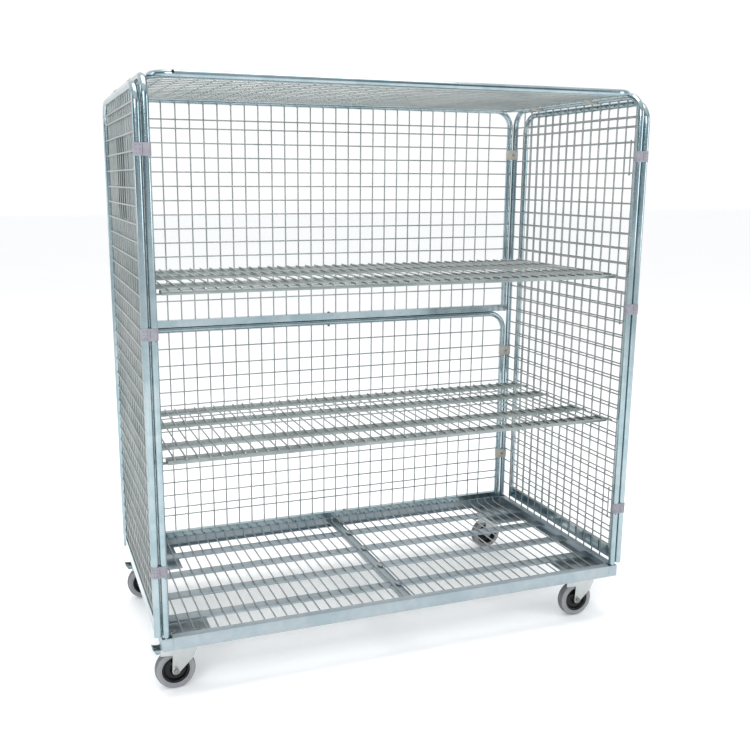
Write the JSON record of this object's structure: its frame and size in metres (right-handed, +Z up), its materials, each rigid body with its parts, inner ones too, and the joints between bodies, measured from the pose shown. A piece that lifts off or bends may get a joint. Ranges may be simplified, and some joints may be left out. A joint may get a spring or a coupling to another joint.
{
  "type": "roll cage container",
  "caption": "Wheeled mesh roll cage container with a slatted deck, lift-out shelves, meshed roof and fold-back mesh doors.",
  "frame": {"origin": "on the floor under the middle of the cage", "axes": "+X along the length, to the right of someone facing the doors; +Y from the doors to the rear wall; +Z up"},
  "size_m": [1.658, 0.818, 1.8305],
  "materials": {
    "zinc_tube": "bright zinc-plated tube, glossy, slight blue-green tint",
    "zinc_sheet": "zinc-plated sheet, satin, blue-grey",
    "zinc_wire": "zinc-plated wire, duller grey",
    "lilac_clip": "moulded plastic, pale lilac grey",
    "beige_clip": "moulded plastic, pale beige",
    "document_plate": "dark coated sheet, satin",
    "castor_zinc": "bright zinc-plated pressed steel",
    "fastener": "zinc-plated fasteners",
    "pedal_steel": "dark zinc-plated pressed steel",
    "grey_tyre": "non-marking grey rubber",
    "wheel_centre": "black moulded plastic, glossy"
  },
  "bodies": {
    "cage": {"front_rail": "zinc_sheet", "rear_rail": "zinc_sheet", "left_end_rail": "zinc_sheet", "right_end_rail": "zinc_sheet", "corner_sockets": "zinc_sheet", "centre_channel": "zinc_sheet", "deck_slats": "zinc_sheet", "deck_wires": "zinc_wire", "castor_mounting_plates": "zinc_sheet", "left_hoop": "zinc_tube", "right_hoop": "zinc_tube", "left_side_mesh": "zinc_wire", "right_side_mesh": "zinc_wire", "rear_upper_frame": "zinc_tube", "rear_upper_mesh": "zinc_wire", "rear_lower_frame": "zinc_tube", "rear_lower_mesh": "zinc_wire", "rear_clips": "beige_clip", "rear_clip_screws": "fastener", "panel_bolts": "fastener", "roof_frame": "zinc_tube", "roof_mesh": "zinc_wire", "roof_clips": "beige_clip", "document_plate": "document_plate", "castor_top_plates": "castor_zinc", "castor_plate_bolts": "fastener", "kingpins": "fastener"},
    "left_hinge": {"left_hinge_clips": "lilac_clip"},
    "right_hinge": {"right_hinge_clips": "lilac_clip"},
    "left_door": {"left_door_frame": "zinc_tube", "left_door_mesh": "zinc_wire"},
    "right_door": {"right_door_frame": "zinc_tube", "right_door_mesh": "zinc_wire"},
    "upper_shelf": {"upper_shelf_slats": "zinc_sheet", "upper_shelf_wires": "zinc_wire"},
    "lower_shelf": {"lower_shelf_slats": "zinc_sheet", "lower_shelf_wires": "zinc_wire"},
    "front_left_castor": {"front_left_fork": "castor_zinc", "front_left_axle_bolt": "fastener"},
    "front_left_wheel": {"front_left_tyre": "grey_tyre", "front_left_wheel_centre": "wheel_centre"},
    "front_left_pedal": {"front_left_brake_pedal": "pedal_steel"},
    "front_right_castor": {"front_right_fork": "castor_zinc", "front_right_axle_bolt": "fastener"},
    "front_right_wheel": {"front_right_tyre": "grey_tyre", "front_right_wheel_centre": "wheel_centre"},
    "rear_left_castor": {"rear_left_fork": "castor_zinc", "rear_left_axle_bolt": "fastener"},
    "rear_left_wheel": {"rear_left_tyre": "grey_tyre", "rear_left_wheel_centre": "wheel_centre"},
    "rear_left_pedal": {"rear_left_brake_pedal": "pedal_steel"},
    "rear_right_castor": {"rear_right_fork": "castor_zinc", "rear_right_axle_bolt": "fastener"},
    "rear_right_wheel": {"rear_right_tyre": "grey_tyre", "rear_right_wheel_centre": "wheel_centre"}
  },
  "joints": [
    {"name": "left_clip_hinge", "type": "hinge", "parent": "cage", "child": "left_hinge", "pos_m": [-0.7925, -0.395, 1], "axis": [0, 0, 1], "range_deg": [0, 180]},
    {"name": "left_door_hinge", "type": "hinge", "parent": "left_hinge", "child": "left_door", "pos_m": [-0.8165, -0.395, 1], "axis": [0, 0, 1], "range_deg": [0, 90]},
    {"name": "right_clip_hinge", "type": "hinge", "parent": "cage", "child": "right_hinge", "pos_m": [0.7925, -0.395, 1], "axis": [0, 0, 1], "range_deg": [-180, 0]},
    {"name": "right_door_hinge", "type": "hinge", "parent": "right_hinge", "child": "right_door", "pos_m": [0.8165, -0.395, 1], "axis": [0, 0, 1], "range_deg": [-90, 0]},
    {"name": "upper_shelf_lift", "type": "slide", "parent": "cage", "child": "upper_shelf", "axis": [0, 0, 1], "range_m": [0, 0.035]},
    {"name": "lower_shelf_lift", "type": "slide", "parent": "cage", "child": "lower_shelf", "axis": [0, 0, 1], "range_m": [0, 0.035]},
    {"name": "front_left_swivel", "type": "hinge", "parent": "cage", "child": "front_left_castor", "pos_m": [-0.722, -0.335, 0.15], "axis": [0, 0, 1], "continuous": true},
    {"name": "front_left_wheel_roll", "type": "hinge", "parent": "front_left_castor", "child": "front_left_wheel", "pos_m": [-0.76, -0.335, 0.0625], "axis": [0, 1, 0], "continuous": true},
    {"name": "front_left_brake", "type": "hinge", "parent": "front_left_castor", "child": "front_left_pedal", "pos_m": [-0.798, -0.335, 0.132], "axis": [0, 1, 0], "range_deg": [-12, 0]},
    {"name": "front_right_swivel", "type": "hinge", "parent": "cage", "child": "front_right_castor", "pos_m": [0.722, -0.335, 0.15], "axis": [0, 0, 1], "continuous": true},
    {"name": "front_right_wheel_roll", "type": "hinge", "parent": "front_right_castor", "child": "front_right_wheel", "pos_m": [0.684, -0.335, 0.0625], "axis": [0, 1, 0], "continuous": true},
    {"name": "rear_left_swivel", "type": "hinge", "parent": "cage", "child": "rear_left_castor", "pos_m": [-0.722, 0.335, 0.15], "axis": [0, 0, 1], "continuous": true},
    {"name": "rear_left_wheel_roll", "type": "hinge", "parent": "rear_left_castor", "child": "rear_left_wheel", "pos_m": [-0.76, 0.335, 0.0625], "axis": [0, 1, 0], "continuous": true},
    {"name": "rear_left_brake", "type": "hinge", "parent": "rear_left_castor", "child": "rear_left_pedal", "pos_m": [-0.798, 0.335, 0.132], "axis": [0, 1, 0], "range_deg": [-12, 0]},
    {"name": "rear_right_swivel", "type": "hinge", "parent": "cage", "child": "rear_right_castor", "pos_m": [0.722, 0.335, 0.15], "axis": [0, 0, 1], "continuous": true},
    {"name": "rear_right_wheel_roll", "type": "hinge", "parent": "rear_right_castor", "child": "rear_right_wheel", "pos_m": [0.684, 0.335, 0.0625], "axis": [0, 1, 0], "continuous": true}
  ]
}
